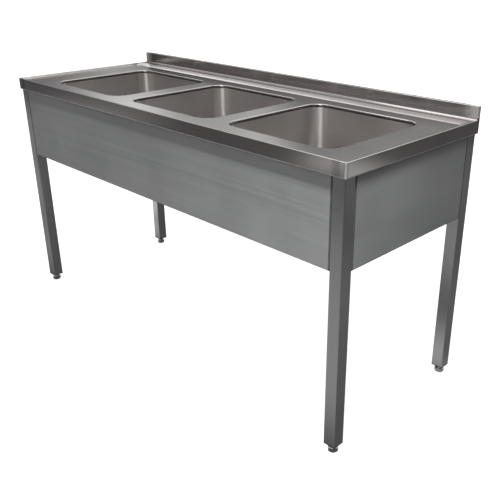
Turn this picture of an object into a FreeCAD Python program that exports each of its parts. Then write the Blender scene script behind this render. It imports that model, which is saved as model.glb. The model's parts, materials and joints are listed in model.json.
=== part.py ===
"""Three compartment sink: a folded stainless worktop with three welded bowls, carried by four square
tube legs with skirt panels on the front and ends, and a drain with a lift-out basket in each bowl.

Millimetres. The origin is the centre of the footprint on the floor, +X runs along the length to the
right as seen from the front, +Y runs to the back, where the splash upstand is, and +Z is up.
"""
import FreeCAD, Part
import math
import os

# ---- overall size ------------------------------------------------------------------------------
LENGTH = 1600.0
DEPTH = 600.0
DECK_HEIGHT = 850.0
EDGE_HEIGHT = 40.0
UPSTAND_HEIGHT = 40.0
UPSTAND_DEPTH = 12.0

# ---- sheet metal -------------------------------------------------------------------------------
SHEET = 1.2
HEAVY_SHEET = 1.5
BEND = 2.0
EDGE_CORNER = 3.0
HEM_HEIGHT = 12.0
HEM_ROUND = 1.1
COVE = 4.0
END_RETURN = 6.0

# ---- lowered area of the deck: a narrow raised edge round it and a broad slope at the back -----
WELL_DROP = 6.0
WELL_BORDER = 6.0
WELL_BACK_BORDER = 43.0
WELL_SLOPE = 7.0
WELL_BACK_SLOPE = 28.0
WELL_CORNER = 20.0
WELL_INNER_CORNER = 13.0
WELL_BLEND = 5.0

# ---- bowls -------------------------------------------------------------------------------------
BOWL_SIZE = 400.0
BOWL_DEPTH = 250.0
BOWL_CORNER = 50.0
BOWL_FLOOR_RADIUS = 30.0
BOWL_PITCH = 471.0
BOWL_ROW_OFFSET = 20.0
BOWL_Y = -27.0
RIM_ROLL = 4.0
RIM_LAND = 3.0
RIM_HEIGHT = 10.0
DISH_RADIUS = 150.0
DISH_DROP = 4.0
SEAT_RADIUS = 59.0
SEAT_DROP = 3.0
DRAIN_HOLE_PLAY = 0.6

# ---- frame -------------------------------------------------------------------------------------
LEG = 40.0
LEG_WALL = 1.5
LEG_CORNER = 3.0
LEG_BOTTOM = 30.0
SIDE_INSET = 6.0
FRONT_INSET = 6.0
BACK_INSET = 3.0
SKIRT_BOTTOM = 559.0
PANEL_FLANGE = 20.0
REAR_RAIL_HEIGHT = 60.0
STIFFENER_WIDTH = 34.0
STIFFENER_DEPTH = 28.0
LAP_MARGIN = 4.0
BRACKET_REACH = 60.0
BRACKET_ARM = 26.0

# ---- adjustable feet, M12 x 1.75 ---------------------------------------------------------------
PLUG_RIM = 4.0
PLUG_DEPTH = 22.0
PLUG_PLAY = 0.1
PLUG_BORE_PLAY = 0.4
STUD_RADIUS = 6.0
STUD_FIT = 0.05
STUD_TOP = 76.0
STUD_BOTTOM = 6.3
STUD_CHAMFER = 1.0
PAD_SOCKET_FLOOR = 6.0
FOOT_FLATS = 27.0
FOOT_TURN = 15.0
FOOT_SHOULDER = 15.5
FOOT_BOTTOM_CHAMFER = (2.0, 2.6)
FOOT_TOP_CHAMFER = (1.0, 3.0)
FOOT_NECK_RADIUS = 9.5
STOP_GAP = 0.3
NUT_FLATS = 19.0
NUT_HEIGHT = 10.0
NUT_LEVEL = 34.0

# ---- fasteners ---------------------------------------------------------------------------------
SCREW_RADIUS = 2.5
SCREW_HEAD_RADIUS = 5.0
SCREW_HEAD = 3.0
SCREW_LENGTH = 13.0
SCREW_HOLE = 2.7
WELD_STUD_RADIUS = 3.0
WELD_STUD_HOLE = 3.3
WELD_STUD_END = 2.0
WELD_NUT_FLATS = 10.0
WELD_NUT_HEIGHT = 4.5

# ---- drain cup, its seal and its nut ------------------------------------------------------------
CUP_RADIUS = 44.0
CUP_WALL = 1.2
CUP_FLANGE_RADIUS = 57.0
CUP_FLANGE = 1.5
CUP_FLANGE_EDGE = 1.0
CUP_BOTTOM = 547.0
CONE_RISE = 2.0
CONE_DROP = 3.0
TAIL_RADIUS = 23.9
TAIL_END = 516.0
OUTLET_RADIUS = 21.0
RING_PLAY = 0.3
GASKET = 2.5
FIBRE_WASHER = 1.0
LOCKNUT_HEIGHT = 11.0
LOCKNUT_WIDTH = 9.0
LOCKNUT_LUGS = 6
LUG_SIZE = (7.0, 10.0)
LUG_OVERLAP = 2.0

# ---- waste tube, 40 mm, and its coupling nut -----------------------------------------------------
PIPE_RADIUS = 20.0
PIPE_WALL = 1.5
PIPE_END = 450.0
PIPE_FLANGE = 2.0
PIPE_FLANGE_PLAY = 0.4
PIPE_COLLAR_RADIUS = 20.8
PIPE_COLLAR = 5.0
SLIP_NUT_WALL = 4.0
SLIP_NUT_LIP = 3.0
SLIP_NUT_RISE = 18.0
SLIP_NUT_PLAY = 0.1

# ---- lift-out basket -----------------------------------------------------------------------------
BASKET_RIM_RADIUS = 42.3
BASKET_TOP_RADIUS = 39.2
BASKET_FLOOR_RADIUS = 33.4
BASKET_SHEET = 0.8
BASKET_RISE = 0.4
BASKET_SLOTS = 16
BASKET_SLOT = (3.5, 18.0)
BASKET_SLOT_LEVEL = 8.0
BASKET_HOLES = 10
BASKET_HOLE_RADIUS = 2.5
BASKET_HOLE_CIRCLE = 28.5
POST_RADIUS = 3.5
KNOB_RADIUS = 8.5
KNOB_NECK_RADIUS = 6.0
KNOB_HEIGHT = 7.0
KNOB_BELOW_SEAT = 4.0
STOPPER_RADIUS = 25.0
STOPPER_THICKNESS = 3.2
STOPPER_BEVEL = (1.5, 1.2)

# ---- worked out --------------------------------------------------------------------------------
HALF_LENGTH = LENGTH / 2
HALF_DEPTH = DEPTH / 2
EDGE_BOTTOM = DECK_HEIGHT - EDGE_HEIGHT
UPSTAND_TOP = DECK_HEIGHT + UPSTAND_HEIGHT
UPSTAND_FRONT = HALF_DEPTH - UPSTAND_DEPTH
WELL_LEVEL = DECK_HEIGHT - WELL_DROP
WELL_UNDERSIDE = WELL_LEVEL - SHEET
RIM_BOTTOM = WELL_LEVEL - RIM_HEIGHT
BOWL_FLOOR = WELL_LEVEL - BOWL_DEPTH
SEAT_LEVEL = BOWL_FLOOR - DISH_DROP - SEAT_DROP
SEAT_UNDERSIDE = SEAT_LEVEL - SHEET
FRAME_TOP = WELL_UNDERSIDE - HEAVY_SHEET
GASKET_BOTTOM = SEAT_UNDERSIDE - GASKET
LOCKNUT_TOP = GASKET_BOTTOM - FIBRE_WASHER
BASKET_FLOOR = CUP_BOTTOM + CONE_RISE
STOPPER_BOTTOM = CUP_BOTTOM - CONE_RISE
LEG_OUTER_X = HALF_LENGTH - SIDE_INSET
LEG_INNER_X = LEG_OUTER_X - LEG
LEG_FRONT_Y = -HALF_DEPTH + FRONT_INSET
LEG_BACK_Y = HALF_DEPTH - BACK_INSET
LEG_X = LEG_OUTER_X - LEG / 2
PLUG_BOTTOM = LEG_BOTTOM - PLUG_RIM
BOWLS = {
    "left": BOWL_ROW_OFFSET - BOWL_PITCH,
    "centre": BOWL_ROW_OFFSET,
    "right": BOWL_ROW_OFFSET + BOWL_PITCH,
}
LEGS = {
    "front_left": (-LEG_X, LEG_FRONT_Y + LEG / 2),
    "front_right": (LEG_X, LEG_FRONT_Y + LEG / 2),
    "rear_left": (-LEG_X, LEG_BACK_Y - LEG / 2),
    "rear_right": (LEG_X, LEG_BACK_Y - LEG / 2),
}
SKIRT_SCREW_HEIGHTS = (590.0, 700.0, 810.0)
RAIL_SCREW_HEIGHTS = (796.0, 826.0)
STIFFENERS = {
    "left": -705.0,
    "centre_left": BOWL_ROW_OFFSET - BOWL_PITCH / 2,
    "centre_right": BOWL_ROW_OFFSET + BOWL_PITCH / 2,
    "right": 714.5,
}
TOLERANCE = 0.01
UP = FreeCAD.Vector(0, 0, 1)


# ---- small helpers -----------------------------------------------------------------------------
def box(low, high):
    """Block between two opposite corners."""
    size = [b - a for a, b in zip(low, high)]
    return Part.makeBox(*size, FreeCAD.Vector(*low))


def cylinder(start, radius, length, direction=(0, 0, 1)):
    """Cylinder from a point on its axis."""
    return Part.makeCylinder(radius, length, FreeCAD.Vector(*start), FreeCAD.Vector(*direction))


def grow(outline, distance):
    """Rectangle ((x0, y0), (x1, y1)) moved outwards by a distance on every side."""
    (x0, y0), (x1, y1) = outline
    return (x0 - distance, y0 - distance), (x1 + distance, y1 + distance)


def square(x, y, size):
    """Square outline about a centre."""
    return grow(((x, y), (x, y)), size / 2)


def rounded_wire(outline, radius, z):
    """Closed wire of a rectangle with round corners at a height."""
    (x0, y0), (x1, y1) = grow(outline, -radius)
    arcs = []
    for x, y, start in ((x1, y0, -90), (x1, y1, 0), (x0, y1, 90), (x0, y0, 180)):
        circle = Part.Circle(FreeCAD.Vector(x, y, z), UP, radius)
        arcs.append(Part.Arc(circle, math.radians(start), math.radians(start + 90)).toShape())
    edges = []
    for arc, following in zip(arcs, arcs[1:] + arcs[:1]):
        edges.append(arc)
        edges.append(Part.makeLine(arc.lastVertex().Point, following.firstVertex().Point))
    return Part.Wire(edges)


def rounded_prism(outline, radius, z0, z1):
    """Upright prism on a rectangle with round corners."""
    return Part.Face(rounded_wire(outline, radius, z0)).extrude(UP * (z1 - z0))


def hexagon(x, y, flats, z0, z1, turn=0.0):
    """Upright hexagonal prism, given its width across flats."""
    corner = flats / 2 / math.cos(math.radians(30))
    angles = [math.radians(turn + 60 * i) for i in range(7)]
    points = [FreeCAD.Vector(x + corner * math.cos(a), y + corner * math.sin(a), z0) for a in angles]
    return Part.Face(Part.makePolygon(points)).extrude(UP * (z1 - z0))


def turned(x, y, profile):
    """Solid of revolution about a vertical axis, from (radius, z) points."""
    points = [FreeCAD.Vector(x + r, y, z) for r, z in profile]
    face = Part.Face(Part.makePolygon(points + points[:1]))
    return face.revolve(FreeCAD.Vector(x, y, 0), UP, 360)


def ring(x, y, inner, outer, z0, z1):
    """Flat ring about a vertical axis."""
    return turned(x, y, [(inner, z0), (outer, z0), (outer, z1), (inner, z1)])


def level_edges(shape, z, keep=lambda box: True):
    """Edges that lie flat at a height and that pass a test on their bounding box."""
    found = []
    for edge in shape.Edges:
        bound = edge.BoundBox
        if abs(bound.ZMin - z) < TOLERANCE and abs(bound.ZMax - z) < TOLERANCE and keep(bound):
            found.append(edge)
    return found


def upright_edges(shape, keep=lambda box: True):
    """Vertical edges that pass a test on their bounding box."""
    found = []
    for edge in shape.Edges:
        bound = edge.BoundBox
        if bound.XLength < TOLERANCE and bound.YLength < TOLERANCE and keep(bound):
            found.append(edge)
    return found


# ---- worktop -----------------------------------------------------------------------------------
def edge_block(inset, bottom, corner, bend):
    """Block of the worktop's outline, with its front corners and its top edges rounded."""
    low = (-HALF_LENGTH + inset, -HALF_DEPTH + inset, bottom)
    high = (HALF_LENGTH - inset, HALF_DEPTH - inset, DECK_HEIGHT - inset)
    block = box(low, high)
    block = block.makeFillet(corner, upright_edges(block, lambda b: b.YMax < 0))
    top = level_edges(block, high[2], lambda b: b.YMin < high[1] - TOLERANCE)
    return block.makeFillet(bend, top)


def folded_tray():
    """Deck with its edges folded down and hemmed inwards along the bottom."""
    outer = edge_block(0, EDGE_BOTTOM, EDGE_CORNER, BEND)
    outer = outer.makeFillet(HEM_ROUND, level_edges(outer, EDGE_BOTTOM))
    inner = edge_block(SHEET, EDGE_BOTTOM + HEM_HEIGHT, EDGE_CORNER - SHEET, BEND - SHEET)
    outline = grow(((-HALF_LENGTH, -HALF_DEPTH), (HALF_LENGTH, HALF_DEPTH)), -2 * SHEET)
    mouth = rounded_prism(outline, HEM_ROUND, EDGE_BOTTOM - SHEET, EDGE_BOTTOM + HEM_HEIGHT)
    return outer.cut(inner).cut(mouth)


def well_solid(drop):
    """Frustum between the border's level and the lowered level, both moved down by a drop."""
    outer = (
        (-HALF_LENGTH + WELL_BORDER, -HALF_DEPTH + WELL_BORDER),
        (HALF_LENGTH - WELL_BORDER, HALF_DEPTH - WELL_BACK_BORDER),
    )
    (x0, y0), (x1, y1) = grow(outer, -WELL_SLOPE)
    inner = ((x0, y0), (x1, y1 - WELL_BACK_SLOPE + WELL_SLOPE))
    wires = [
        rounded_wire(inner, WELL_INNER_CORNER, WELL_LEVEL - drop),
        rounded_wire(outer, WELL_CORNER, DECK_HEIGHT - drop),
    ]
    return Part.makeLoft(wires, True, True)


def upstand():
    """Splash upstand: the sheet goes up, over the top and down the back, with turned-in ends."""
    block = box((-HALF_LENGTH, UPSTAND_FRONT, DECK_HEIGHT - SHEET), (HALF_LENGTH, HALF_DEPTH, UPSTAND_TOP))
    block = block.makeFillet(COVE, upright_edges(block, lambda b: b.YMax < HALF_DEPTH - TOLERANCE))
    return block.makeFillet(BEND, level_edges(block, UPSTAND_TOP, lambda b: b.XLength > DEPTH))


def upstand_void():
    """Hollow of the upstand, open downwards and, behind the turned-in ends, sideways."""
    ends = HALF_LENGTH - SHEET
    bottom = DECK_HEIGHT - 2 * SHEET
    top = UPSTAND_TOP - SHEET
    back = HALF_DEPTH - SHEET
    hollow = box((-ends, UPSTAND_FRONT + SHEET, bottom), (ends, back, top))
    hollow = hollow.makeFillet(COVE - SHEET, upright_edges(hollow, lambda b: b.YMax < back - TOLERANCE))
    slot_front = UPSTAND_FRONT + END_RETURN
    slot = box((-HALF_LENGTH - 1, slot_front, DECK_HEIGHT), (HALF_LENGTH + 1, back, top))
    return hollow.fuse(slot)


def rim_blank(x, top):
    """Block that holds the rolled rim and a narrow land of the deck round it."""
    width = RIM_ROLL + RIM_LAND
    outline = grow(square(x, BOWL_Y, BOWL_SIZE), width)
    return rounded_prism(outline, BOWL_CORNER + width, RIM_BOTTOM, top)


def bowl_rim(x):
    """Edge of a bowl's cut-out, rolled down to meet the bowl's wall."""
    hole = square(x, BOWL_Y, BOWL_SIZE)
    rim = rim_blank(x, WELL_LEVEL).cut(rounded_prism(hole, BOWL_CORNER, RIM_BOTTOM, WELL_LEVEL))
    rim = rim.makeFillet(RIM_ROLL, [e for e in level_edges(rim, WELL_LEVEL) if on_outline(e, hole)])
    under = rounded_prism(grow(hole, 2 * RIM_ROLL), BOWL_CORNER + 2 * RIM_ROLL, RIM_BOTTOM, WELL_UNDERSIDE)
    core = grow(hole, SHEET)
    under = under.cut(rounded_prism(core, BOWL_CORNER + SHEET, RIM_BOTTOM, WELL_UNDERSIDE))
    corner_edges = [e for e in level_edges(under, WELL_UNDERSIDE) if on_outline(e, core)]
    return rim.cut(under.makeFillet(RIM_ROLL - SHEET, corner_edges))


def on_outline(edge, outline):
    """Whether an edge lies inside or on a rectangle."""
    (x0, y0), (x1, y1) = grow(outline, TOLERANCE)
    bound = edge.BoundBox
    return bound.XMin > x0 and bound.XMax < x1 and bound.YMin > y0 and bound.YMax < y1


def worktop():
    """The whole worktop: deck, folded edges, lowered area, upstand and rolled bowl rims."""
    deck = folded_tray().fuse(well_solid(SHEET)).cut(well_solid(0))
    slopes = level_edges(deck, WELL_LEVEL) + level_edges(deck, DECK_HEIGHT, inside_border)
    deck = deck.makeFillet(WELL_BLEND, slopes)
    deck = deck.fuse(upstand()).removeSplitter()
    deck = deck.makeFillet(COVE, level_edges(deck, DECK_HEIGHT, upstand_foot))
    deck = deck.cut(upstand_void())
    for x in BOWLS.values():
        deck = deck.cut(rim_blank(x, DECK_HEIGHT)).fuse(bowl_rim(x))
    return deck.removeSplitter()


def upstand_foot(bound):
    """Whether an edge is the long line where the upstand meets the deck."""
    return abs(bound.YMin - UPSTAND_FRONT) < TOLERANCE and bound.XLength > DEPTH


def inside_border(bound):
    """Whether an edge belongs to the lowered area and not to the worktop's outline."""
    sides = bound.XMin > -HALF_LENGTH + BEND + 1 and bound.XMax < HALF_LENGTH - BEND - 1
    return sides and bound.YMin > -HALF_DEPTH + BEND + 1 and bound.YMax < UPSTAND_FRONT - 1


# ---- bowls -------------------------------------------------------------------------------------
def bowl_form(x, thickness):
    """Solid form of a bowl with its dished floor; the bowl is one form cut from a thicker one."""
    outline = grow(square(x, BOWL_Y, BOWL_SIZE), thickness)
    floor = BOWL_FLOOR - thickness
    form = rounded_prism(outline, BOWL_CORNER + thickness, floor, RIM_BOTTOM)
    form = form.makeFillet(BOWL_FLOOR_RADIUS + thickness, level_edges(form, floor))
    seat = SEAT_RADIUS + thickness
    dish = [
        (0, floor),
        (DISH_RADIUS, floor),
        (seat, floor - DISH_DROP),
        (seat, floor - DISH_DROP - SEAT_DROP),
        (0, floor - DISH_DROP - SEAT_DROP),
    ]
    return form.fuse(turned(x, BOWL_Y, dish))


def bowl(x):
    """Pressed bowl, butt-welded to the rolled rim, with a seat and a hole for its drain."""
    skin = bowl_form(x, SHEET).cut(bowl_form(x, 0))
    start = (x, BOWL_Y, SEAT_UNDERSIDE - SHEET)
    hole = cylinder(start, CUP_RADIUS + DRAIN_HOLE_PLAY, 3 * SHEET)
    return skin.cut(hole).removeSplitter()


# ---- frame -------------------------------------------------------------------------------------
def leg(x, y):
    """Square tube leg."""
    outside = rounded_prism(square(x, y, LEG), LEG_CORNER, LEG_BOTTOM, FRAME_TOP)
    bore = square(x, y, LEG - 2 * LEG_WALL)
    return outside.cut(rounded_prism(bore, LEG_CORNER - LEG_WALL, LEG_BOTTOM, FRAME_TOP))


def panel(low, high, facing):
    """Panel folded back on all four sides; facing is the axis and sign of its show face."""
    axis, sign = facing
    shell = box(low, high)
    show = high[axis] if sign > 0 else low[axis]
    shell = shell.makeFillet(BEND, [e for e in shell.Edges if flat_on(e, axis, show)])
    inner_low = [value + SHEET for value in low]
    inner_high = [value - SHEET for value in high]
    if sign > 0:
        inner_low[axis] = low[axis] - SHEET
    else:
        inner_high[axis] = high[axis] + SHEET
    hollow = box(inner_low, inner_high)
    show_inside = show - sign * SHEET
    hollow = hollow.makeFillet(BEND - SHEET, [e for e in hollow.Edges if flat_on(e, axis, show_inside)])
    return shell.cut(hollow)


def flat_on(edge, axis, value):
    """Whether all of an edge lies in a plane across an axis."""
    bound = edge.BoundBox
    low = (bound.XMin, bound.YMin, bound.ZMin)[axis]
    high = (bound.XMax, bound.YMax, bound.ZMax)[axis]
    return abs(low - value) < TOLERANCE and abs(high - value) < TOLERANCE


def skirt_front():
    """Front skirt panel, flush with the legs' front faces."""
    low = (-LEG_INNER_X, LEG_FRONT_Y, SKIRT_BOTTOM)
    return panel(low, (LEG_INNER_X, LEG_FRONT_Y + PANEL_FLANGE, FRAME_TOP), (1, -1))


def skirt_end(side):
    """End skirt panel between a front leg and a rear leg; side is -1 for the left, 1 for the right."""
    faces = sorted((side * LEG_OUTER_X, side * (LEG_OUTER_X - PANEL_FLANGE)))
    low = (faces[0], LEG_FRONT_Y + LEG, SKIRT_BOTTOM)
    return panel(low, (faces[1], LEG_BACK_Y - LEG, FRAME_TOP), (0, side))


def rear_rail():
    """Low rail between the rear legs."""
    low = (-LEG_INNER_X, LEG_BACK_Y - PANEL_FLANGE, FRAME_TOP - REAR_RAIL_HEIGHT)
    return panel(low, (LEG_INNER_X, LEG_BACK_Y, FRAME_TOP), (1, 1))


def stiffener(x):
    """Channel under the deck; its top laps the front skirt's and the rear rail's top flanges."""
    half = STIFFENER_WIDTH / 2
    front = LEG_FRONT_Y + LAP_MARGIN
    back = LEG_BACK_Y - LAP_MARGIN
    channel = box((x - half, front, FRAME_TOP), (x + half, back, WELL_UNDERSIDE))
    for edge in (x - half, x + half - HEAVY_SHEET):
        low = (edge, LEG_FRONT_Y + PANEL_FLANGE + 1, FRAME_TOP - STIFFENER_DEPTH)
        high = (edge + HEAVY_SHEET, LEG_BACK_Y - PANEL_FLANGE - 1, FRAME_TOP)
        channel = channel.fuse(box(low, high))
    return channel.removeSplitter()


def bracket_plan(x, y):
    """Outer corner of the leg at (x, y) and the two directions that lead inwards from it."""
    inward_x = -1 if x > 0 else 1
    inward_y = -1 if y > 0 else 1
    return x - inward_x * LEG / 2, y - inward_y * LEG / 2, inward_x, inward_y


def corner_bracket(x, y):
    """Gusset plate welded on a leg, with an arm over each panel's top flange."""
    corner_x, corner_y, inward_x, inward_y = bracket_plan(x, y)
    edge = LEG_CORNER
    plan = [
        (edge, edge),
        (BRACKET_REACH, edge),
        (BRACKET_REACH, BRACKET_ARM),
        (BRACKET_ARM, BRACKET_REACH),
        (edge, BRACKET_REACH),
    ]
    points = [FreeCAD.Vector(corner_x + inward_x * u, corner_y + inward_y * v, FRAME_TOP) for u, v in plan]
    return Part.Face(Part.makePolygon(points + points[:1])).extrude(UP * HEAVY_SHEET)


# ---- fasteners ---------------------------------------------------------------------------------
def panel_screws():
    """(position on a panel's end flange, direction into the leg) of every panel screw."""
    places = []
    half_flange = PANEL_FLANGE / 2
    for side in (-1, 1):
        end = side * (LEG_INNER_X - SHEET)
        for z in SKIRT_SCREW_HEIGHTS:
            places.append(((end, LEG_FRONT_Y + half_flange, z), (side, 0, 0)))
            middle = side * (LEG_OUTER_X - half_flange)
            places.append(((middle, LEG_FRONT_Y + LEG + SHEET, z), (0, -1, 0)))
            places.append(((middle, LEG_BACK_Y - LEG - SHEET, z), (0, 1, 0)))
        for z in RAIL_SCREW_HEIGHTS:
            places.append(((end, LEG_BACK_Y - half_flange, z), (side, 0, 0)))
    return places


def screw(place, direction):
    """Pan head screw whose head bears on the flange."""
    backwards = tuple(-value for value in direction)
    shank = cylinder(place, SCREW_RADIUS, SCREW_LENGTH, direction)
    head = cylinder(place, SCREW_HEAD_RADIUS, SCREW_HEAD, backwards)
    crown = [e for e in head.Edges if e.Closed and e.CenterOfMass.distanceToPoint(FreeCAD.Vector(*place)) > 1]
    return head.makeFillet(SCREW_HEAD / 2, crown).fuse(shank).removeSplitter()


def screw_holes():
    """Tools that drill the panels' end flanges and the legs."""
    return [cylinder(place, SCREW_HOLE, SCREW_LENGTH, direction) for place, direction in panel_screws()]


def bracket_studs():
    """Centres of the weld studs through the brackets' arms, two for each leg."""
    reach = (LEG + BRACKET_REACH) / 2
    half_flange = PANEL_FLANGE / 2
    centres = []
    for x, y in LEGS.values():
        corner_x, corner_y, inward_x, inward_y = bracket_plan(x, y)
        for u, v in ((reach, half_flange), (half_flange, reach)):
            centres.append((corner_x + inward_x * u, corner_y + inward_y * v))
    return centres


def weld_stud(x, y):
    """Threaded stud welded under the deck, down through a bracket and a panel's top flange."""
    length = HEAVY_SHEET + SHEET + WELD_NUT_HEIGHT + WELD_STUD_END
    return cylinder((x, y, WELL_UNDERSIDE - length), WELD_STUD_RADIUS, length)


def bracket_nut(x, y):
    """Hex nut that draws a panel's top flange up against the bracket."""
    bottom = FRAME_TOP - SHEET - WELD_NUT_HEIGHT
    nut = hexagon(x, y, WELD_NUT_FLATS, bottom, bottom + WELD_NUT_HEIGHT)
    return nut.cut(cylinder((x, y, bottom), WELD_STUD_RADIUS, WELD_NUT_HEIGHT))


def stud_holes():
    """Tools that drill the brackets and the panels' top flanges."""
    depth = SHEET + HEAVY_SHEET + 2
    return [cylinder((x, y, FRAME_TOP - SHEET - 1), WELD_STUD_HOLE, depth) for x, y in bracket_studs()]


# ---- adjustable feet ---------------------------------------------------------------------------
def leg_plug(x, y):
    """Plastic end plug with a rim under the tube and a pocket for the foot's nut."""
    top = LEG_BOTTOM + PLUG_DEPTH
    rim = rounded_prism(square(x, y, LEG), LEG_CORNER, PLUG_BOTTOM, LEG_BOTTOM)
    stem_size = LEG - 2 * LEG_WALL - 2 * PLUG_PLAY
    stem = rounded_prism(square(x, y, stem_size), LEG_CORNER - LEG_WALL, LEG_BOTTOM, top)
    bore = cylinder((x, y, PLUG_BOTTOM), STUD_RADIUS + PLUG_BORE_PLAY, top - PLUG_BOTTOM)
    pocket = hexagon(x, y, NUT_FLATS + PLUG_PLAY, NUT_LEVEL, top)
    return rim.fuse(stem).cut(bore).cut(pocket)


def insert_nut(x, y):
    """Nut held in a leg's plug, in which the foot's stud turns."""
    nut = hexagon(x, y, NUT_FLATS, NUT_LEVEL, NUT_LEVEL + NUT_HEIGHT)
    return nut.cut(cylinder((x, y, NUT_LEVEL), STUD_RADIUS + STUD_FIT, NUT_HEIGHT))


def foot_stud(x, y):
    """Threaded stud of a foot, as a plain shaft with a chamfered top."""
    stud = cylinder((x, y, STUD_BOTTOM), STUD_RADIUS, STUD_TOP - STUD_BOTTOM)
    return stud.makeChamfer(STUD_CHAMFER, level_edges(stud, STUD_TOP))


def foot_pad(x, y):
    """Hexagonal foot with chamfered ends and a round neck that stops against the plug."""
    top = PLUG_BOTTOM - STOP_GAP
    half_flats = FOOT_FLATS / 2
    corner = half_flats / math.cos(math.radians(30))
    (bottom_in, bottom_up), (top_in, top_down) = FOOT_BOTTOM_CHAMFER, FOOT_TOP_CHAMFER
    profile = [
        (0, 0),
        (half_flats - bottom_in, 0),
        (corner, bottom_up),
        (corner, FOOT_SHOULDER - top_down),
        (half_flats - top_in, FOOT_SHOULDER),
        (FOOT_NECK_RADIUS, FOOT_SHOULDER),
        (FOOT_NECK_RADIUS, top),
        (0, top),
    ]
    pad = turned(x, y, profile).common(hexagon(x, y, FOOT_FLATS, 0, top, FOOT_TURN))
    socket = cylinder((x, y, PAD_SOCKET_FLOOR), STUD_RADIUS + STUD_FIT, top)
    return pad.cut(socket)


# ---- drain fittings ----------------------------------------------------------------------------
def strainer_body(x):
    """Drain cup with a flange in the bowl's seat, a conical bottom and a threaded tail."""
    bore = CUP_RADIUS - CUP_WALL
    flange_top = SEAT_LEVEL + CUP_FLANGE
    cone_bottom = CUP_BOTTOM - CONE_DROP
    profile = [
        (CUP_FLANGE_RADIUS, SEAT_LEVEL),
        (CUP_FLANGE_RADIUS, SEAT_LEVEL + CUP_FLANGE_EDGE),
        (CUP_FLANGE_RADIUS - CUP_FLANGE_EDGE, flange_top),
        (bore, flange_top),
        (bore, CUP_BOTTOM + CONE_RISE),
        (OUTLET_RADIUS, cone_bottom),
        (OUTLET_RADIUS, TAIL_END),
        (TAIL_RADIUS, TAIL_END),
        (TAIL_RADIUS, cone_bottom - CUP_WALL),
        (CUP_RADIUS, CUP_BOTTOM),
        (CUP_RADIUS, SEAT_LEVEL),
    ]
    return turned(x, BOWL_Y, profile)


def strainer_gasket(x):
    """Rubber ring under the bowl."""
    return ring(x, BOWL_Y, CUP_RADIUS + RING_PLAY, CUP_FLANGE_RADIUS, GASKET_BOTTOM, SEAT_UNDERSIDE)


def strainer_washer(x):
    """Fibre ring that lets the locknut turn under the gasket."""
    outer = CUP_FLANGE_RADIUS - CUP_FLANGE_EDGE
    return ring(x, BOWL_Y, CUP_RADIUS + RING_PLAY, outer, LOCKNUT_TOP, GASKET_BOTTOM)


def strainer_locknut(x):
    """Ring nut with lugs that clamps the drain cup to the bowl."""
    bottom = LOCKNUT_TOP - LOCKNUT_HEIGHT
    outer = CUP_RADIUS + LOCKNUT_WIDTH
    body = ring(x, BOWL_Y, CUP_RADIUS + STUD_FIT, outer, bottom, LOCKNUT_TOP)
    length, width = LUG_SIZE
    start = x + outer - LUG_OVERLAP
    for i in range(LOCKNUT_LUGS):
        low = (start, BOWL_Y - width / 2, bottom)
        lug = box(low, (start + length, BOWL_Y + width / 2, LOCKNUT_TOP - LUG_OVERLAP))
        lug.rotate(FreeCAD.Vector(x, BOWL_Y, 0), UP, 360 * i / LOCKNUT_LUGS)
        body = body.fuse(lug)
    return body.removeSplitter()


def tailpiece(x):
    """Waste tube with a collar and a flange that the slip nut pulls up against the cup's tail."""
    bore = PIPE_RADIUS - PIPE_WALL
    flange = TAIL_RADIUS - PIPE_FLANGE_PLAY
    collar_top = TAIL_END - PIPE_FLANGE
    profile = [
        (bore, PIPE_END),
        (PIPE_RADIUS, PIPE_END),
        (PIPE_RADIUS, collar_top - PIPE_COLLAR),
        (PIPE_COLLAR_RADIUS, collar_top - PIPE_COLLAR),
        (PIPE_COLLAR_RADIUS, collar_top),
        (flange, collar_top),
        (flange, TAIL_END),
        (bore, TAIL_END),
    ]
    return turned(x, BOWL_Y, profile)


def slip_nut(x):
    """Coupling nut round the cup's tail and the tailpiece's flange."""
    lip = TAIL_END - PIPE_FLANGE
    bottom = lip - SLIP_NUT_LIP
    top = TAIL_END + SLIP_NUT_RISE
    nut = hexagon(x, BOWL_Y, 2 * (TAIL_RADIUS + SLIP_NUT_WALL), bottom, top)
    thread = cylinder((x, BOWL_Y, lip), TAIL_RADIUS + STUD_FIT, top - lip)
    mouth = cylinder((x, BOWL_Y, bottom), PIPE_COLLAR_RADIUS + SLIP_NUT_PLAY, SLIP_NUT_LIP)
    return nut.cut(thread).cut(mouth)


def basket_cup(x):
    """Conical basket with slots round its wall and holes in its floor."""
    rim = SEAT_LEVEL + BASKET_RISE
    under_rim = rim - BASKET_SHEET
    under_floor = BASKET_FLOOR - BASKET_SHEET
    profile = [
        (BASKET_RIM_RADIUS, under_rim),
        (BASKET_RIM_RADIUS, rim),
        (BASKET_TOP_RADIUS, rim),
        (BASKET_FLOOR_RADIUS, BASKET_FLOOR),
        (POST_RADIUS + BASKET_SHEET, BASKET_FLOOR),
        (POST_RADIUS + BASKET_SHEET, under_floor),
        (BASKET_FLOOR_RADIUS + BASKET_SHEET, under_floor),
        (BASKET_TOP_RADIUS + BASKET_SHEET, under_rim),
    ]
    basket = turned(x, BOWL_Y, profile)
    axis = FreeCAD.Vector(x, BOWL_Y, 0)
    width, height = BASKET_SLOT
    slot_bottom = BASKET_FLOOR + BASKET_SLOT_LEVEL
    low = (x + POST_RADIUS, BOWL_Y - width / 2, slot_bottom)
    slot = box(low, (x + BASKET_RIM_RADIUS, BOWL_Y + width / 2, slot_bottom + height))
    place = (x + BASKET_HOLE_CIRCLE, BOWL_Y, under_floor)
    hole = cylinder(place, BASKET_HOLE_RADIUS, BASKET_SHEET)
    for tool, count in ((slot, BASKET_SLOTS), (hole, BASKET_HOLES)):
        for i in range(count):
            basket = basket.cut(tool.rotated(axis, UP, 360 * i / count))
    return basket


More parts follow.
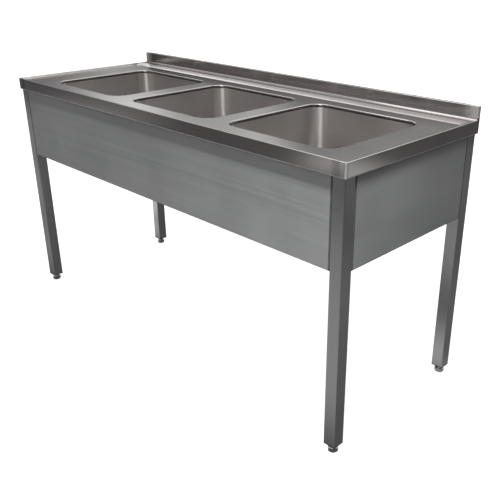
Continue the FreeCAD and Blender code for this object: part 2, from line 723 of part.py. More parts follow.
def basket_stopper(x):
    """Centre post of a basket, with its knob at the top and its sealing disc at the bottom."""
    top = STOPPER_BOTTOM + STOPPER_THICKNESS
    knob = SEAT_LEVEL - KNOB_BELOW_SEAT
    bevel, rise = STOPPER_BEVEL
    chamfer = (KNOB_RADIUS - KNOB_NECK_RADIUS) / 2
    profile = [
        (0, STOPPER_BOTTOM),
        (STOPPER_RADIUS - bevel, STOPPER_BOTTOM),
        (STOPPER_RADIUS, STOPPER_BOTTOM + rise),
        (STOPPER_RADIUS - bevel, top),
        (POST_RADIUS, top),
        (POST_RADIUS, knob),
        (KNOB_RADIUS, knob + chamfer),
        (KNOB_RADIUS, knob + KNOB_HEIGHT - chamfer),
        (KNOB_NECK_RADIUS, knob + KNOB_HEIGHT),
        (0, knob + KNOB_HEIGHT),
    ]
    return turned(x, BOWL_Y, profile)


# ---- the whole sink ----------------------------------------------------------------------------
def build():
    """Every node of the sink by name."""
    drills = Part.makeCompound(screw_holes() + stud_holes())
    nodes = {"worktop": worktop()}
    for name, x in BOWLS.items():
        nodes["bowl_" + name] = bowl(x)
        nodes["strainer_body_" + name] = strainer_body(x)
        nodes["strainer_gasket_" + name] = strainer_gasket(x)
        nodes["strainer_locknut_" + name] = strainer_locknut(x)
        nodes["slip_nut_" + name] = slip_nut(x)
        nodes["tailpiece_" + name] = tailpiece(x)
        nodes["basket_cup_" + name] = basket_cup(x)
        nodes["basket_stopper_" + name] = basket_stopper(x)
    nodes["strainer_washers"] = Part.makeCompound([strainer_washer(x) for x in BOWLS.values()])
    for name, (x, y) in LEGS.items():
        nodes["leg_" + name] = leg(x, y).cut(drills)
        nodes["leg_plug_" + name] = leg_plug(x, y)
        nodes["foot_stud_" + name] = foot_stud(x, y)
        nodes["foot_pad_" + name] = foot_pad(x, y)
        nodes["corner_bracket_" + name] = corner_bracket(x, y).cut(drills)
    nodes["leg_insert_nuts"] = Part.makeCompound([insert_nut(x, y) for x, y in LEGS.values()])
    nodes["skirt_front"] = skirt_front().cut(drills)
    nodes["skirt_left"] = skirt_end(-1).cut(drills)
    nodes["skirt_right"] = skirt_end(1).cut(drills)
    nodes["rear_rail"] = rear_rail().cut(drills)
    for name, x in STIFFENERS.items():
        nodes["deck_stiffener_" + name] = stiffener(x)
    nodes["panel_screws"] = Part.makeCompound([screw(*place) for place in panel_screws()])
    nodes["bracket_studs"] = Part.makeCompound([weld_stud(x, y) for x, y in bracket_studs()])
    nodes["bracket_nuts"] = Part.makeCompound([bracket_nut(x, y) for x, y in bracket_studs()])
    return nodes


def main():
    os.makedirs("parts", exist_ok=True)
    for name, shape in build().items():
        solids = len(shape.Solids)
        print(f"{name}: {solids} solid(s), {shape.Volume:.0f} mm3, valid {shape.isValid()}")
        shape.exportStep(f"parts/{name}.step")


main()
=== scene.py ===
"""Looks of the three compartment sink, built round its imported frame. Metres, +Z up."""
import json
import math

import bmesh
import bpy
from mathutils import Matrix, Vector

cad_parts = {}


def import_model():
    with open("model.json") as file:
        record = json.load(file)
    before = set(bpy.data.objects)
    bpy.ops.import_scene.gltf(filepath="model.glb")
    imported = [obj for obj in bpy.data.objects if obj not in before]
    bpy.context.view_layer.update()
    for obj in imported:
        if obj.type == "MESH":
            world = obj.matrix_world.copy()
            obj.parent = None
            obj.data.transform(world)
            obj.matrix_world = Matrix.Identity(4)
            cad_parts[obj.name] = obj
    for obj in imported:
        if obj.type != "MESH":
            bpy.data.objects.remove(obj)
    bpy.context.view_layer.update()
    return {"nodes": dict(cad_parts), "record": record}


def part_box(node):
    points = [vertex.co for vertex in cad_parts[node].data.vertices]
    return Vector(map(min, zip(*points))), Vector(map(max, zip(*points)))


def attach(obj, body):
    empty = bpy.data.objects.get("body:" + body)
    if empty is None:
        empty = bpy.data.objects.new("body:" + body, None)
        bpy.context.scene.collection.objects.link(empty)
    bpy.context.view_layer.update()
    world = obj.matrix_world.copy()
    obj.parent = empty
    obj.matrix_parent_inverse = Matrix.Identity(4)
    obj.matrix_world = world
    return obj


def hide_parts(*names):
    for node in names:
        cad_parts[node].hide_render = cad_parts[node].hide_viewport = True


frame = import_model()
NODES = frame["nodes"]
SLOT_OF = {part["node"]: part["material_slot"] for part in frame["record"]["subparts"]}

# ---- camera ------------------------------------------------------------------------------------
CAMERA_PLACE = (1.717, -1.460, 1.290)
CAMERA_AZIMUTH = 44.53
CAMERA_ELEVATION = 23.40
CAMERA_LENS = 48.32
CAMERA_SHIFT = (-0.0527, -0.0153)
CAMERA_REACH = 100

# ---- brushed steel: noise scales in cycles per metre, along the grain and across it -------------
GRAIN_LONG = 6.0
GRAIN_FINE = 1400.0
GRAIN_DETAIL = (4.0, 0.7)  # noise detail and noise roughness
STREAK_LONG = 1.5
STREAK_FINE = 220.0
SMUDGE = 3.5
SMUDGE_DETAIL = 5.0
SCUFF = 60.0
# Each direction leans a little, so that none is square to a face.
GRAIN_DIRECTION = ((1.0, 0.0, 0.05), (0.05, 1.0, 0.0), (0.0, 0.05, 1.0))
RING_SMEAR = (0.05, 0.03, 1.0)
STREAK_CONTRAST = (0.38, 0.62)
STREAK_GLOSS = (0.95, 1.05)
BUMP_HEIGHT = 0.0002

# ---- rubbed edges, also a painted edge highlight: how far the rounded and the flat normal agree, and what rubbing does ---
EDGE_RADIUS = 0.0018
EDGE_SAMPLES = 6
EDGE_AGREEMENT = (0.80, 0.99)
SCUFF_LEAST = 0.35
SCUFF_CONTRAST = (0.35, 0.65)
# Sharp edges are lighter by this factor: rubbed wear, and a painted edge highlight.
WORN_AND_HIGHLIT_LIGHTER = 1.25
RUBBED_SMOOTHER = 0.4

# ---- painted shade in seams and in the lee of what stands close by: openness and what it leaves --
SHADE_SAMPLES = 8
SEAM_REACH = 0.006
SEAM_OPENNESS = (0.25, 0.85)
SEAM_SHADE = 0.15
SHADE_REACH = 0.05
SHADE_OPENNESS = (0.5, 0.85)
SHADE_LEAST = 0.85
# Near-black colour that the painted shade in seams and in the lee mixes in.
PAINTED_SHADE_COLOUR = (0.01, 0.01, 0.01)

# ---- worktop's dressed welds, painted hem highlight and painted shade: distances in metres ------
# Painted highlight along the hem and below it: where it fades out, and how strongly it lightens.
HEM_LINE = (0.8108, 0.8132)
HEM_HIGHLIGHT = 0.7
BEAD_WIDTH = (0.003, 0.007)
BEAD_METAL = 0.35
# Colour of the sanded welds and upstand ends, and of the painted hem highlight.
DRESSED_AND_HIGHLIT_COLOUR = (0.80, 0.77, 0.76)
DRESSED_ROUGHNESS = 0.5
# Blended patch on the front face beside each bead, with a wavering outline.
BLEND_ZONE = (0.016, 0.022, 0.036, 0.048)
BLEND_SHADE = 0.72
BLEND_WAVER = 0.006
WAVER_SCALE = (200.0, 200.0, 30.0)
FRONT_SKIN = (0.001, 0.003)
# Rubbed end of the upstand: in from the end, from the back and from the top.
END_ZONE = (0.004, 0.050)
END_FROM_BACK = (0.020, 0.010)
END_FROM_TOP = (0.038, 0.034)
END_RUB = 0.8
# Painted shade on the rolled rims of the bowls and on the rear left corner of the deck.
RIM_ROLL = (0.8422, 0.8437)
RIM_INSET = (0.016, 0.018)
RIM_SHADE = 0.42
CORNER_FROM_LEFT = (0.020, 0.110)
CORNER_FROM_BACK = (0.105, 0.075)
CORNER_SHADE = 0.50

# ---- painted shade at the seams between the skirts and the legs: how far it reaches, in metres ---
SEAM_WIDTH = (0.003, 0.0055)
PANEL_SEAM_SHADE = 0.30

# ---- plastic and rubber ------------------------------------------------------------------------
CLOUD_SCALE, CLOUD_DETAIL = 30.0, 4.0
TEXTURE_SCALE, TEXTURE_DETAIL = 900.0, 2.0
# How much lighter the dust and the scuffs are: factor, and what is added.
CLOUD_LIGHT = (1.25, 0.01)
SCUFF_LIGHT = (1.5, 0.03)
CLOUD_GLOSS = 0.06

# ---- sockets of the mix node, whose names are not unique ----------------------------------------
MIX_NUMBERS = (2, 3)
MIX_COLOURS = (6, 7)
MIX_RESULT = 2


# ---- objects and materials ---------------------------------------------------------------------
def new_object(name, data):
    """Object in the scene, made of its mesh, light or camera."""
    obj = bpy.data.objects.new(name, data)
    bpy.context.scene.collection.objects.link(obj)
    return obj


def mesh_of(shape, name):
    """Mesh made of a bmesh, which it frees."""
    mesh = bpy.data.meshes.new(name)
    shape.to_mesh(mesh)
    shape.free()
    return mesh


def new_material(name):
    """Empty node material with its output and shader."""
    material = bpy.data.materials.new(name)
    material.use_nodes = True
    tree = material.node_tree
    return material, tree, tree.nodes["Principled BSDF"]


def add(tree, kind, values=(), **settings):
    """Node with its settings and the values of its inputs."""
    node = tree.nodes.new(kind)
    for key, value in settings.items():
        setattr(node, key, value)
    for key, value in dict(values).items():
        if isinstance(value, bpy.types.NodeSocket):
            tree.links.new(value, node.inputs[key])
        else:
            node.inputs[key].default_value = value
    return node


def maths(tree, operation, *values):
    """Result of a maths node."""
    return add(tree, "ShaderNodeMath", dict(enumerate(values)), operation=operation).outputs[0]


def stretched_noise(tree, scale, detail=3.0, roughness=0.6):
    """Noise in the object's own coordinates, stretched by a scale along each axis."""
    place = add(tree, "ShaderNodeTexCoord").outputs["Object"]
    mapped = add(tree, "ShaderNodeMapping", {"Vector": place, "Scale": scale}).outputs[0]
    values = {"Vector": mapped, "Scale": 1.0, "Detail": detail, "Roughness": roughness}
    return add(tree, "ShaderNodeTexNoise", values).outputs["Fac"]


def even_noise(tree, scale, detail=3.0):
    """Noise in the object's own coordinates, with the same scale along every axis."""
    return stretched_noise(tree, (scale, scale, scale), detail)


def ramp(tree, factor, low, high, start=0.3, end=0.7):
    """Number that goes from low to high as the factor goes from start to end."""
    values = {"Value": factor, "From Min": start, "From Max": end, "To Min": low, "To Max": high}
    return add(tree, "ShaderNodeMapRange", values).outputs[0]


def both(tree, first, second):
    """Product of two masks or numbers."""
    return maths(tree, "MULTIPLY", first, second)


def lighter(colour, factor, more=0.0):
    """Colour made lighter, or darker where the factor is under 1."""
    return tuple(min(1.0, c * factor + more) for c in colour)


def shades(tree, factor, dark, light):
    """Colour between two, by a factor."""
    node = add(tree, "ShaderNodeMix", {"Factor": factor}, data_type="RGBA")
    for socket, colour in zip(MIX_COLOURS, (dark, light)):
        if isinstance(colour, bpy.types.NodeSocket):
            tree.links.new(colour, node.inputs[socket])
        else:
            node.inputs[socket].default_value = (*colour, 1)
    return node.outputs[MIX_RESULT]


def edge_mask(tree):
    """1 on the object's sharp edges and corners, 0 on its flat faces."""
    values = {"Radius": EDGE_RADIUS}
    rounded = add(tree, "ShaderNodeBevel", values, samples=EDGE_SAMPLES).outputs[0]
    normal = add(tree, "ShaderNodeNewGeometry").outputs["Normal"]
    same = add(tree, "ShaderNodeVectorMath", {0: rounded, 1: normal}, operation="DOT_PRODUCT")
    return ramp(tree, same.outputs["Value"], 1.0, 0.0, *EDGE_AGREEMENT)


def openness(tree, reach):
    """1 on open faces, less where something stands within reach."""
    values = {"Distance": reach}
    node = add(tree, "ShaderNodeAmbientOcclusion", values, samples=SHADE_SAMPLES)
    return node.outputs["AO"]


def painted_shade_mask(tree, shaded):
    """Painted shade mask: 1 on open faces, falling off in seams and, where shaded, in the lee of
    what stands close.
    """
    seams = ramp(tree, openness(tree, SEAM_REACH), SEAM_SHADE, 1.0, *SEAM_OPENNESS)
    if not shaded:
        return seams
    lee = ramp(tree, openness(tree, SHADE_REACH), SHADE_LEAST, 1.0, *SHADE_OPENNESS)
    return both(tree, seams, lee)


def grain_scale(axis, along, across):
    """Noise scale with long grain along one axis."""
    return tuple(along if i == axis else across for i in range(3))


def across_grain(tree, grain):
    """Direction in the surface across a grain, along which brushed steel smears reflections."""
    normal = add(tree, "ShaderNodeNewGeometry").outputs["Normal"]
    across = add(tree, "ShaderNodeVectorMath", {0: normal, 1: grain}, operation="CROSS_PRODUCT")
    return across.outputs[0]


def roughen(tree, shader, height, strength):
    """Gives a shader a bump by a height."""
    values = {"Height": height, "Strength": strength, "Distance": BUMP_HEIGHT}
    tree.links.new(add(tree, "ShaderNodeBump", values).outputs[0], shader.inputs["Normal"])


def darkened_base(tree, shader, shade):
    """The base colour that a shader has so far, scaled by a shade."""
    plain = shader.inputs["Base Color"].links[0].from_socket
    scaled = add(tree, "ShaderNodeVectorMath", {0: plain, "Scale": shade}, operation="SCALE")
    return scaled.outputs["Vector"]


def brushed_steel(name, colour, roughness, axis, smear, bump=0.05, streaks=0.04, smudges=0.04,
                  rings=False, shaded=True, extra_marks=None):
    """Satin stainless steel with a grain along an axis, or in level rings, and lighter rubbed
    edges.

    The streaks vary its colour, the smudges its roughness. Rubbed edges are lighter from wear and
    from a painted edge highlight. Painted shade darkens it in seams and, where shaded, close to
    other pieces. A function given last adds its own finish and painted light to the shader.
    """
    material, tree, shader = new_material(name)
    if rings:
        fine = (GRAIN_LONG, GRAIN_LONG, GRAIN_FINE)
        coarse = (STREAK_LONG, STREAK_LONG, STREAK_FINE)
        tangent = add(tree, "ShaderNodeCombineXYZ", dict(enumerate(RING_SMEAR))).outputs[0]
    else:
        fine = grain_scale(axis, GRAIN_LONG, GRAIN_FINE)
        coarse = grain_scale(axis, STREAK_LONG, STREAK_FINE)
        tangent = across_grain(tree, GRAIN_DIRECTION[axis])
    grain = stretched_noise(tree, fine, *GRAIN_DETAIL)
    streak = stretched_noise(tree, coarse)
    smudge = even_noise(tree, SMUDGE, SMUDGE_DETAIL)
    scuff = even_noise(tree, SCUFF)
    mixed = maths(tree, "ADD", both(tree, streak, 0.5), both(tree, smudge, 0.5))
    dark, light = lighter(colour, 1 - streaks), lighter(colour, 1 + streaks)
    base = shades(tree, ramp(tree, mixed, 0, 1, *STREAK_CONTRAST), dark, light)
    # Lighter, smoother sharp edges: rubbed wear, and a painted edge highlight in the colour.
    wear_and_highlight = both(tree, edge_mask(tree), ramp(tree, scuff, SCUFF_LEAST, 1.0, *SCUFF_CONTRAST))
    rubbed_and_highlit_colour = shades(tree, wear_and_highlight, base, lighter(colour, WORN_AND_HIGHLIT_LIGHTER))
    # Painted shade: near black in seams and, where shaded, close to other pieces.
    crease_shaded_colour = shades(tree, painted_shade_mask(tree, shaded), PAINTED_SHADE_COLOUR, rubbed_and_highlit_colour)
    tree.links.new(crease_shaded_colour, shader.inputs["Base Color"])
    satin = ramp(tree, smudge, roughness - smudges, roughness + smudges)
    varied = both(tree, satin, ramp(tree, streak, *STREAK_GLOSS))
    rubbed = maths(tree, "SUBTRACT", varied, both(tree, wear_and_highlight, RUBBED_SMOOTHER * roughness))
    tree.links.new(rubbed, shader.inputs["Roughness"])
    shader.inputs["Metallic"].default_value = 1.0
    if extra_marks:
        extra_marks(tree, shader)
    shader.inputs["Anisotropic"].default_value = smear
    tree.links.new(tangent, shader.inputs["Tangent"])
    roughen(tree, shader, grain, bump)
    return material


def worktop_welds_and_painted_light(tree, shader):
    """Dresses the worktop's edges and corners, and paints light and shade on them.

    Sanded bead down each front corner with a darker blended patch beside it, rubbed upstand
    ends, a painted highlight along the hem, and painted shade on the bowl rims and the rear left
    corner.
    """
    place = add(tree, "ShaderNodeTexCoord").outputs["Object"]
    x, y, z = add(tree, "ShaderNodeSeparateXYZ", {0: place}).outputs
    (low_x, low_y, _), (high_x, high_y, high_z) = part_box("worktop")
    to_end = maths(tree, "SUBTRACT", high_x, maths(tree, "ABSOLUTE", x))
    to_corner = maths(tree, "ADD", to_end, maths(tree, "SUBTRACT", y, low_y))
    bead = ramp(tree, to_corner, 1.0, 0.0, *BEAD_WIDTH)
    # Painted highlight along the hem and below it.
    hem_highlight = ramp(tree, z, 1.0, 0.0, *HEM_LINE)
    waver = stretched_noise(tree, WAVER_SCALE)
    along = maths(tree, "ADD", to_corner, ramp(tree, waver, -BLEND_WAVER, BLEND_WAVER))
    start, full, fading, end = BLEND_ZONE
    patch = both(tree, ramp(tree, along, 0, 1, start, full), ramp(tree, along, 1, 0, fading, end))
    on_front = ramp(tree, y, 1.0, 0.0, *(low_y + skin for skin in FRONT_SKIN))
    blended = ramp(tree, both(tree, patch, on_front), 1.0, BLEND_SHADE, 0.0, 1.0)
    # Painted shade on the bowls' rolled rims and on the deck's rear left corner.
    inside = both(tree, ramp(tree, to_end, 0, 1, *RIM_INSET),
                  ramp(tree, y, 0, 1, *(low_y + inset for inset in RIM_INSET)))
    rolled = both(tree, inside, ramp(tree, z, 1.0, 0.0, *RIM_ROLL))
    corner = both(tree, ramp(tree, x, 1.0, 0.0, *(low_x + reach for reach in CORNER_FROM_LEFT)),
                  ramp(tree, y, 0.0, 1.0, *(high_y - reach for reach in CORNER_FROM_BACK)))
    rims = both(tree, blended, ramp(tree, rolled, 1.0, RIM_SHADE, 0.0, 1.0))
    shade = both(tree, rims, ramp(tree, corner, 1.0, CORNER_SHADE, 0.0, 1.0))
    upright = both(tree, ramp(tree, y, 0, 1, *(high_y - reach for reach in END_FROM_BACK)),
                   ramp(tree, z, 0, 1, *(high_z - reach for reach in END_FROM_TOP)))
    end_zone = both(tree, upright, ramp(tree, to_end, 1.0, 0.0, *END_ZONE))
    # Sanded beads and upstand ends, with the painted hem highlight, turn lighter, rougher and less
    # metallic.
    sanded_and_highlit = maths(tree, "MAXIMUM", maths(tree, "MAXIMUM", bead, both(tree, hem_highlight, HEM_HIGHLIGHT)),
                   both(tree, end_zone, END_RUB))
    base = shades(tree, sanded_and_highlit, darkened_base(tree, shader, shade), DRESSED_AND_HIGHLIT_COLOUR)
    tree.links.new(base, shader.inputs["Base Color"])
    satin = shader.inputs["Roughness"].links[0].from_socket
    rougher = ramp(tree, sanded_and_highlit, satin, DRESSED_ROUGHNESS, 0.0, 1.0)
    tree.links.new(rougher, shader.inputs["Roughness"])
    metal = ramp(tree, sanded_and_highlit, 1.0, BEAD_METAL, 0.0, 1.0)
    tree.links.new(metal, shader.inputs["Metallic"])


def painted_seam_shade(node, axis):
    """Painted shade that darkens both ends of a panel along an axis, where it meets the legs."""
    low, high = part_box(node)

    def darken(tree, shader):
        place = add(tree, "ShaderNodeTexCoord").outputs["Object"]
        along = add(tree, "ShaderNodeSeparateXYZ", {0: place}).outputs[axis]
        from_low = maths(tree, "SUBTRACT", along, low[axis])
        from_high = maths(tree, "SUBTRACT", high[axis], along)
        nearest = maths(tree, "MINIMUM", from_low, from_high)
        # Painted shade in the seam against the leg.
        shade = ramp(tree, nearest, PANEL_SEAM_SHADE, 1.0, *SEAM_WIDTH)
        tree.links.new(darkened_base(tree, shader, shade), shader.inputs["Base Color"])

    return darken


def plastic(name, colour, roughness, pits=0.15):
    """Moulded plastic or rubber with a fine texture and a little dust."""
    material, tree, shader = new_material(name)
    cloud = even_noise(tree, CLOUD_SCALE, CLOUD_DETAIL)
    texture = even_noise(tree, TEXTURE_SCALE, TEXTURE_DETAIL)
    base = shades(tree, ramp(tree, cloud, 0, 1), colour, lighter(colour, *CLOUD_LIGHT))
    scuffed = shades(tree, edge_mask(tree), base, lighter(colour, *SCUFF_LIGHT))
    tree.links.new(scuffed, shader.inputs["Base Color"])
    satin = ramp(tree, cloud, roughness - CLOUD_GLOSS, roughness + CLOUD_GLOSS)
    tree.links.new(satin, shader.inputs["Roughness"])
    roughen(tree, shader, texture, pits)
    return material


BOWLS = ("bowl_left", "bowl_centre", "bowl_right")
X_AXIS, Y_AXIS, Z_AXIS = range(3)
STEELS = {
    "worktop_steel": dict(
        colour=(0.61, 0.58, 0.572), roughness=0.15, axis=X_AXIS, smear=0.2, bump=0.02,
        smudges=0.012, shaded=False, extra_marks=worktop_welds_and_painted_light,
    ),
    "bowl_steel": dict(
        colour=(0.645, 0.62, 0.61), roughness=0.33, axis=X_AXIS, smear=0.7, bump=0.02,
        smudges=0.03, rings=True,
    ),
    "skirt_steel": dict(
        colour=(0.47, 0.475, 0.475), roughness=0.55, axis=X_AXIS, smear=0.6,
        extra_marks=painted_seam_shade("skirt_front", X_AXIS),
    ),
    # The skirts' own steel made darker as painted shade on the end panels, with its grain along Y.
    "skirt_end_steel": dict(
        colour=(0.39, 0.395, 0.395), roughness=0.55, axis=Y_AXIS, smear=0.6,
        extra_marks=painted_seam_shade("skirt_right", Y_AXIS),
    ),
    "leg_steel": dict(
        colour=(0.56, 0.56, 0.56), roughness=0.33, axis=Z_AXIS, smear=0.6, smudges=0.03,
    ),
    "frame_steel": dict(colour=(0.52, 0.52, 0.52), roughness=0.5, axis=X_AXIS, smear=0.3),
    "foot_steel": dict(colour=(0.66, 0.66, 0.65), roughness=0.20, axis=Z_AXIS, smear=0.2),
    "drain_steel": dict(
        colour=(0.64, 0.64, 0.64), roughness=0.16, axis=Z_AXIS, smear=0.2, bump=0.02,
    ),
    "fastener_steel": dict(colour=(0.60, 0.60, 0.58), roughness=0.35, axis=Z_AXIS, smear=0.2),
}
PLASTICS = {
    "plug_plastic": dict(colour=(0.012, 0.012, 0.012), roughness=0.5),
    "drain_plastic": dict(colour=(0.72, 0.72, 0.70), roughness=0.38, pits=0.05),
    "rubber": dict(colour=(0.02, 0.02, 0.02), roughness=0.7),
    "fibre": dict(colour=(0.32, 0.22, 0.13), roughness=0.85, pits=0.4),
}
MATERIALS = {name: brushed_steel(name, **look) for name, look in STEELS.items()}
MATERIALS.update({name: plastic(name, **look) for name, look in PLASTICS.items()})


def dress(node, material):
    """Gives a CAD node one of the materials."""
    node.data.materials.clear()
    node.data.materials.append(MATERIALS[material])


for name, node in NODES.items():
    dress(node, SLOT_OF[name])
# The end skirts take the darker steel that carries their painted shade.
for name in ("skirt_left", "skirt_right"):
    dress(NODES[name], "skirt_end_steel")


# ---- threaded studs ----------------------------------------------------------------------------
THREAD_PITCH = 0.00175
THREAD_DEPTH = 0.00107
THREAD_FLANK = 1.25
THREAD_CREST = 0.125
THREAD_LEAD = 0.0012
THREAD_SIDES = 32
THREAD_STEPS = 8


def thread_cut(turn, z, to_top):
    """Depth of the thread under the stud's outer surface, deeper still at its tapered top."""
    phase = (z / THREAD_PITCH - turn) % 1.0
    flank = THREAD_FLANK * abs(2 * phase - 1) - THREAD_CREST
    groove = min(1.0, max(0.0, flank)) * THREAD_DEPTH
    taper = max(0.0, 1 - to_top / THREAD_LEAD) * THREAD_DEPTH
    return max(groove, taper)


def threaded_stud(node, body):
    """M12 stud with a rolled thread, in the place of a plain CAD shaft."""
    low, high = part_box(node)
    centre = (low + high) / 2
    outer = (high.x - low.x) / 2
    rows = round((high.z - low.z) / THREAD_PITCH * THREAD_STEPS)
    shape = bmesh.new()
    rings = []
    for row in range(rows + 1):
        z = low.z + (high.z - low.z) * row / rows
        ring = []
        for side in range(THREAD_SIDES):
            turn = side / THREAD_SIDES
            radius = outer - thread_cut(turn, z, high.z - z)
            angle = 2 * math.pi * turn
            x = centre.x + radius * math.cos(angle)
            y = centre.y + radius * math.sin(angle)
            ring.append(shape.verts.new((x, y, z)))
        rings.append(ring)
    for lower, upper in zip(rings, rings[1:]):
        for side in range(THREAD_SIDES):
            after = (side + 1) % THREAD_SIDES
            shape.faces.new((lower[side], lower[after], upper[after], upper[side]))
    shape.faces.new(list(reversed(rings[0])))
    shape.faces.new(rings[-1])
    obj = new_object("threaded_" + node, mesh_of(shape, "threaded_" + node))
    obj.data.materials.append(MATERIALS["fastener_steel"])
    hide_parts(node)
    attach(obj, body)


for corner in ("front_left", "front_right", "rear_left", "rear_right"):
    threaded_stud("foot_stud_" + corner, "stud_" + corner)


# ---- studio ------------------------------------------------------------------------------------
# Brightness of the room seen by the steel: (degrees from -X towards +Y, value) round the horizon,
# and (degrees above the horizon, factor).
ROOM_ROUND = (
    (-180, 0.18), (-126, 0.22), (-116, 4.20), (-104, 4.20), (-93, 0.16), (-60, 0.14), (-20, 0.12),
    (10, 0.14), (22, 0.28), (28, 0.45), (32, 0.95), (34, 0.95), (37, 0.42), (41, 0.42),
    (44, 0.55), (48, 0.16), (56, 0.22), (66, 0.20), (80, 0.26), (108, 0.36), (128, 0.30),
    (142, 0.22), (158, 0.18), (180, 0.18),
)
ROOM_HEIGHT = (
    (-90, 0.2), (0, 0.2), (8, 0.2), (9.8, 0.28), (11, 0.75), (12.5, 1.15), (40, 1.1), (60, 0.9),
    (90, 0.9),
)
# Three large soft windows above eye level, at the front left, the back left and the back right:
# for each the same two lists, multiplied together.
WINDOWS = (
    (
        ((-180, 0.0), (-85, 0.0), (-60, 0.8), (-20, 0.8), (0, 0.0), (180, 0.0)),
        ((-90, 0.0), (10, 0.0), (22, 1.0), (50, 1.0), (75, 0.3), (90, 0.3)),
    ),
    (
        ((-180, 0.0), (15, 0.0), (30, 1.0), (70, 1.0), (85, 0.0), (180, 0.0)),
        ((-90, 0.0), (17, 0.0), (24, 1.0), (40, 1.0), (55, 0.0), (90, 0.0)),
    ),
    (
        ((-180, 0.0), (90, 0.0), (105, 1.8), (136, 1.9), (152, 0.3), (165, 0.0), (180, 0.0)),
        ((-90, 0.0), (22, 0.0), (38, 1.0), (75, 1.0), (90, 0.5)),
    ),
)
# Glow of the floor in what the steel reflects: in front of the sink, and under and behind it.
FLOOR_FRONT, FLOOR_BACK, FLOOR_FAR = 0.38, 0.11, 0.09
FLOOR_FRONT_LINE, FLOOR_BACK_LINE = -0.5, -0.3
FLOOR_NEAR_REACH, FLOOR_FAR_REACH = 0.9, 2.6
# The floor itself, as the camera sees it.
FLOOR_HALF_SIDE = 40
FLOOR_COLOUR = (0.62, 0.62, 0.62, 1)
FLOOR_ROUGHNESS = 0.9
FLOOR_GLOW = 0.72
WHITE = (1, 1, 1, 1)
# Soft patches of more or less glow on that floor: (centre, radius, glow).
FLOOR_PATCHES = (
    ((-1.05, -2.55), 0.35, 1.00),
    ((2.45, 1.78), 0.42, 0.70),
    ((-0.62, -1.9), 0.50, -0.20),
    ((-3.4, -1.5), 1.20, 0.50),
    ((-2.2, -0.95), 0.70, 0.40),
    ((1.35, 0.50), 0.60, 0.10),
    ((0.70, 0.13), 0.30, 0.45),
    ((-0.96, 0.13), 0.25, 0.60),
    ((-1.24, -0.06), 0.25, 1.70),
)
# Steep lights over the front and the right end: (name, target, direction to it, distance, power).
KEYS = (
    ("key_front", (-0.1, -0.3, 0.85), (-0.35, -0.143, 1.0), 3.2, 175),
    ("key_side", (0.8, -0.38, 0.85), (0.20, 0.0, 1.0), 1.0, 70),
    ("key_side_steep", (0.8, -0.38, 0.85), (0.11, 0.0, 1.0), 1.0, 70),
)
KEY_SIZE = 0.20
TOP_PLACE, TOP_TARGET = (0, 0, 3.2), (0, 0, 0.8)
TOP_SIZE = (2.5, 1.5)
TOP_POWER = 25


def profile(tree, angle, low, high, stops):
    """Number read off a list of (angle in degrees, value) stops."""
    share = ramp(tree, angle, 0, 1, math.radians(low), math.radians(high))
    node = add(tree, "ShaderNodeValToRGB", {"Fac": share})
    elements = node.color_ramp.elements
    elements.remove(elements[1])
    for index, (degrees, value) in enumerate(stops):
        place = (degrees - low) / (high - low)
        element = elements[0] if index == 0 else elements.new(place)
        element.position = place
        element.color = (value, value, value, 1)
    return node.outputs["Color"]


def soft_light(name, place, target, size, power):
    """Rectangular area light that faces a target."""
    lamp = bpy.data.lights.new(name, "AREA")
    lamp.shape = "RECTANGLE"
    lamp.size, lamp.size_y = size
    lamp.energy = power
    obj = new_object(name, lamp)
    obj.location = place
    obj.rotation_euler = (Vector(target) - Vector(place)).to_track_quat("-Z", "Y").to_euler()
    return obj


def floor():
    """Pale matt floor, which shades off with distance in what the steel reflects."""
    shape = bmesh.new()
    bmesh.ops.create_grid(shape, x_segments=1, y_segments=1, size=FLOOR_HALF_SIDE)
    obj = new_object("studio_floor", mesh_of(shape, "studio_floor"))
    material, tree, shader = new_material("studio_floor")
    shader.inputs["Base Color"].default_value = FLOOR_COLOUR
    shader.inputs["Roughness"].default_value = FLOOR_ROUGHNESS
    shader.inputs["Specular IOR Level"].default_value = 0.0
    shader.inputs["Emission Color"].default_value = WHITE
    shader.inputs["Emission Strength"].default_value = FLOOR_GLOW
    place = add(tree, "ShaderNodeTexCoord").outputs["Object"]
    reach = add(tree, "ShaderNodeVectorMath", {0: place}, operation="LENGTH").outputs["Value"]
    forward = add(tree, "ShaderNodeSeparateXYZ", {0: place}).outputs["Y"]
    near = ramp(tree, forward, FLOOR_FRONT, FLOOR_BACK, FLOOR_FRONT_LINE, FLOOR_BACK_LINE)
    glow = ramp(tree, reach, near, FLOOR_FAR, FLOOR_NEAR_REACH, FLOOR_FAR_REACH)
    for centre, radius, more in FLOOR_PATCHES:
        ends = {0: place, 1: (*centre, 0)}
        distance = add(tree, "ShaderNodeVectorMath", ends, operation="DISTANCE").outputs["Value"]
        glow = maths(tree, "ADD", glow, ramp(tree, distance, more, 0.0, 0.0, radius))
    reflected = add(tree, "ShaderNodeEmission", {"Strength": glow}).outputs[0]
    seen = add(tree, "ShaderNodeLightPath").outputs["Is Camera Ray"]
    mixed = add(tree, "ShaderNodeMixShader", {0: seen, 1: reflected, 2: shader.outputs[0]})
    tree.links.new(mixed.outputs[0], tree.nodes["Material Output"].inputs["Surface"])
    obj.data.materials.append(material)
    return obj


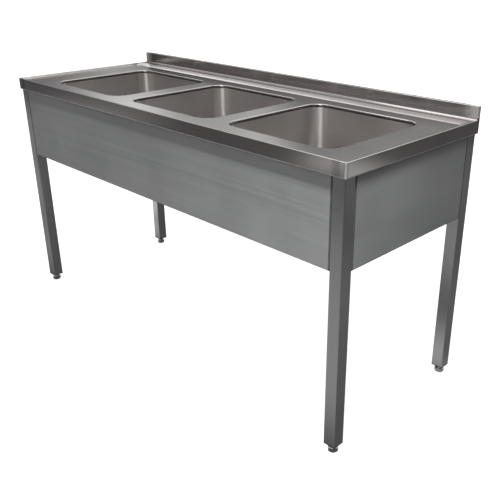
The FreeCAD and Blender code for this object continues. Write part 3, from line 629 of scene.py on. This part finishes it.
def world():
    """White surroundings to the camera; the steel reflects the dim room and its windows."""
    sky = bpy.data.worlds.new("studio")
    sky.use_nodes = True
    bpy.context.scene.world = sky
    tree = sky.node_tree
    background = tree.nodes["Background"]
    background.inputs["Color"].default_value = WHITE
    ray = add(tree, "ShaderNodeTexCoord").outputs["Generated"]
    x, y, z = add(tree, "ShaderNodeSeparateXYZ", {0: ray}).outputs
    around = maths(tree, "ARCTAN2", y, maths(tree, "MULTIPLY", x, -1.0))
    height = maths(tree, "ARCSINE", z)
    sides = profile(tree, around, -180, 180, ROOM_ROUND)
    level = profile(tree, height, -90, 90, ROOM_HEIGHT)
    room = both(tree, sides, level)
    for window_round, window_height in WINDOWS:
        across = profile(tree, around, -180, 180, window_round)
        up = profile(tree, height, -90, 90, window_height)
        room = maths(tree, "ADD", room, both(tree, across, up))
    seen = add(tree, "ShaderNodeLightPath").outputs["Is Camera Ray"]
    reflected, shown = MIX_NUMBERS
    strength = add(tree, "ShaderNodeMix", {0: seen, reflected: room, shown: 1.0})
    tree.links.new(strength.outputs[0], background.inputs["Strength"])


def key_lights(ground):
    """Steep lights that give the skirts their shade line and leave the floor and the top alone."""
    spared = bpy.data.collections.new("spared_by_keys")
    for index, obj in enumerate((ground, *(NODES[name] for name in ("worktop", *BOWLS)))):
        spared.objects.link(obj)
        spared.collection_objects[index].light_linking.link_state = "EXCLUDE"
    for name, target, towards, distance, power in KEYS:
        place = Vector(target) + Vector(towards).normalized() * distance
        key = soft_light(name, place, target, (KEY_SIZE, KEY_SIZE), power)
        key.light_linking.receiver_collection = spared


def camera():
    """Camera at the viewing angle of a visitor in front of the right end."""
    data = bpy.data.cameras.new("camera")
    data.lens = CAMERA_LENS
    data.shift_x, data.shift_y = CAMERA_SHIFT
    data.clip_end = CAMERA_REACH
    obj = new_object("camera", data)
    obj.location = CAMERA_PLACE
    tilt, azimuth = math.radians(90 - CAMERA_ELEVATION), math.radians(CAMERA_AZIMUTH)
    obj.rotation_euler = (tilt, 0, azimuth)
    bpy.context.scene.camera = obj


world()
camera()
key_lights(floor())
soft_light("overhead", TOP_PLACE, TOP_TARGET, TOP_SIZE, TOP_POWER)
bpy.context.scene.view_settings.view_transform = "Standard"
